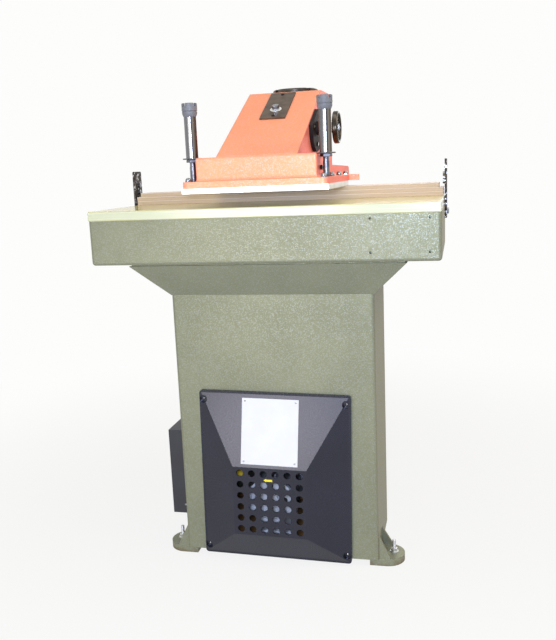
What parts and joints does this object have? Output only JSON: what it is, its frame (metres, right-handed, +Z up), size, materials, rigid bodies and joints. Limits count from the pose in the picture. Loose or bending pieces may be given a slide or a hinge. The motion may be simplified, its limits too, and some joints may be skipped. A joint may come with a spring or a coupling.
{
  "type": "hydraulic swing-arm cutting press",
  "caption": "Free-standing hydraulic cutting press: swing arm with striking plate over a wide cutting board, two-hand button grips, stroke handwheel and a vented front cover.",
  "frame": {"origin": "on the floor under the axis of the pillar that the arm swings on", "axes": "+X to the operator's right, +Y from the front to the back, +Z up along the pillar"},
  "size_m": [0.9246, 0.7085, 1.3262],
  "materials": {
    "green_enamel": "hammered grey-green enamel on cast and welded steel",
    "cutting_board": "pale green-white polypropylene, satin",
    "strip_board": "pale brown laminated board, matt",
    "bracket_steel": "dark mill-scale steel, bare and bright at its front edge",
    "zinc_steel": "bright zinc plate",
    "grey_plastic": "smooth dark blue-grey enamel on pressed sheet",
    "bare_plate": "plain white-anodised sheet",
    "dark_enamel": "dark grey enamel",
    "dark_plastic": "black moulded plastic",
    "bronze": "turned bronze",
    "machined_steel": "turned steel, oiled",
    "chrome": "polished hard chrome",
    "black_steel": "blackened steel",
    "browned_plate": "glossy brown-black plate",
    "motor_aluminium": "cast aluminium",
    "fan_plastic": "black moulded plastic",
    "tank_steel": "grey enamel on sheet steel",
    "yellow_plastic": "yellow moulded coil",
    "red_plastic": "red cap",
    "pipe_steel": "steel hydraulic pipe",
    "tray_steel": "brown primer, oily",
    "orange_enamel": "orange splatter enamel on cast iron",
    "plate_aluminium": "milled aluminium",
    "handle_steel": "turned steel, dark grey",
    "grip_grey": "grey moulded plastic"
  },
  "bodies": {
    "machine_base": {"machine_body": "green_enamel", "worktable": "green_enamel", "cutting_board": "cutting_board", "rear_boards_lower": "strip_board", "rear_board_upper": "strip_board", "side_bracket_left": "bracket_steel", "side_bracket_right": "bracket_steel", "bracket_bolts": "zinc_steel", "anchor_studs": "zinc_steel", "anchor_nuts": "zinc_steel", "front_cover": "grey_plastic", "cover_screws": "zinc_steel", "blank_plate": "bare_plate", "plate_rivets": "zinc_steel", "rear_cover": "green_enamel", "electrical_box": "dark_enamel", "electrical_box_lid": "dark_enamel", "electrical_box_screws": "zinc_steel", "contactor": "dark_plastic", "supply_gland": "dark_plastic", "pillar_guide": "green_enamel", "guide_bushes": "bronze", "guide_gland": "machined_steel", "guide_screws": "machined_steel", "motor_housing": "motor_aluminium", "motor_end_shield": "motor_aluminium", "bell_housing": "motor_aluminium", "hydraulic_pump": "motor_aluminium", "oil_tank": "tank_steel", "valve_block": "machined_steel", "valve_solenoid": "yellow_plastic", "relief_valve": "red_plastic", "pressure_pipe": "pipe_steel", "return_pipe": "pipe_steel", "drip_tray": "tray_steel"},
    "motor_shaft": {"motor_rotor": "machined_steel", "cooling_fan": "fan_plastic", "shaft_coupling": "machined_steel"},
    "pillar": {"pillar": "chrome", "piston": "machined_steel", "pillar_nut": "black_steel"},
    "swing_arm": {"swing_arm": "orange_enamel", "striking_plate": "plate_aluminium", "plate_bolts": "zinc_steel", "arm_bushes": "bronze", "slope_cover": "browned_plate", "slope_cover_bolt": "zinc_steel", "wheel_cover": "black_steel", "arm_cover_screws": "black_steel", "arm_side_screw": "black_steel", "handle_stems": "handle_steel", "handle_discs": "handle_steel", "handle_tubes": "chrome", "handle_crowns": "grip_grey", "button_switches": "dark_plastic"},
    "stroke_wheel": {"handwheel": "black_steel", "wheel_spindle": "machined_steel"},
    "stroke_nut": {"stroke_nut": "bronze"},
    "left_button": {"button_left": "grip_grey"},
    "right_button": {"button_right": "grip_grey"}
  },
  "joints": [
    {"name": "pillar_lift", "type": "slide", "parent": "machine_base", "child": "pillar", "axis": [0, 0, 1], "range_m": [0, 0.075]},
    {"name": "arm_swing", "type": "hinge", "parent": "pillar", "child": "swing_arm", "pos_m": [0, 0, 1.047], "axis": [0, 0, 1], "range_deg": [-38, 38]},
    {"name": "stroke_wheel_turn", "type": "hinge", "parent": "swing_arm", "child": "stroke_wheel", "pos_m": [0, -0.305, 1.194], "axis": [1, 0, 0], "range_deg": [-1080, 1080]},
    {"name": "stroke_nut_travel", "type": "slide", "parent": "swing_arm", "child": "stroke_nut", "axis": [1, 0, 0], "range_m": [-0.0185, 0.0185]},
    {"name": "left_button_press", "type": "slide", "parent": "swing_arm", "child": "left_button", "axis": [0, 0, -1], "range_m": [0, 0.004], "stiffness_N_per_m": 600, "springref_m": -0.002},
    {"name": "right_button_press", "type": "slide", "parent": "swing_arm", "child": "right_button", "axis": [0, 0, -1], "range_m": [0, 0.004], "stiffness_N_per_m": 600, "springref_m": -0.002},
    {"name": "motor_spin", "type": "hinge", "parent": "machine_base", "child": "motor_shaft", "pos_m": [-0.04, -0.39, 0.15], "axis": [0, 1, 0], "continuous": true}
  ],
  "couplings": [
    {"joint": "stroke_nut_travel", "follows": "stroke_wheel_turn", "m_per_rad": 0.00095493}
  ]
}
